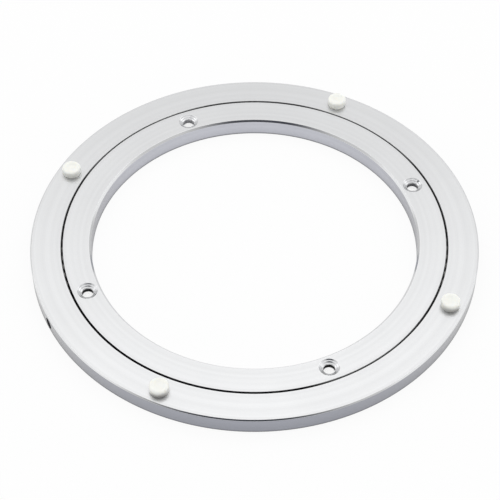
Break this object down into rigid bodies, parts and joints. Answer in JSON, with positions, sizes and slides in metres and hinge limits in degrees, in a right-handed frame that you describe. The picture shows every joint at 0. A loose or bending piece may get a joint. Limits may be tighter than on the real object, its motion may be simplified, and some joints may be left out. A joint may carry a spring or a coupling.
{
  "type": "lazy susan bearing",
  "caption": "Flat turntable bearing: an outer aluminium ring turns about an inner one on a hidden row of balls, with countersunk screw holes inside and round pads on top.",
  "frame": {"origin": "on the turning axis, at the underside of the inner ring", "axes": "+Z along the turning axis, towards the pads; -Y towards the viewer of the picture"},
  "size_m": [0.2, 0.2, 0.0124],
  "materials": {
    "ring_aluminium": "satin, turned",
    "ball_steel": "polished",
    "pad_white": "matt",
    "plug_black": "matt"
  },
  "bodies": {
    "inner": {"inner_ring": "ring_aluminium"},
    "outer": {"outer_ring": "ring_aluminium", "loading_plug": "plug_black", "pad_1": "pad_white", "pad_2": "pad_white", "pad_3": "pad_white", "pad_4": "pad_white"},
    "ball_row": {"bearing_balls": "ball_steel"}
  },
  "joints": [
    {"name": "turntable_spin", "type": "hinge", "parent": "inner", "child": "outer", "pos_m": [0, 0, 0.00455], "axis": [0, 0, 1], "continuous": true},
    {"name": "ball_orbit", "type": "hinge", "parent": "inner", "child": "ball_row", "pos_m": [0, 0, 0.00455], "axis": [0, 0, 1], "continuous": true}
  ],
  "couplings": [
    {"joint": "ball_orbit", "follows": "turntable_spin", "ratio": 0.50979}
  ]
}
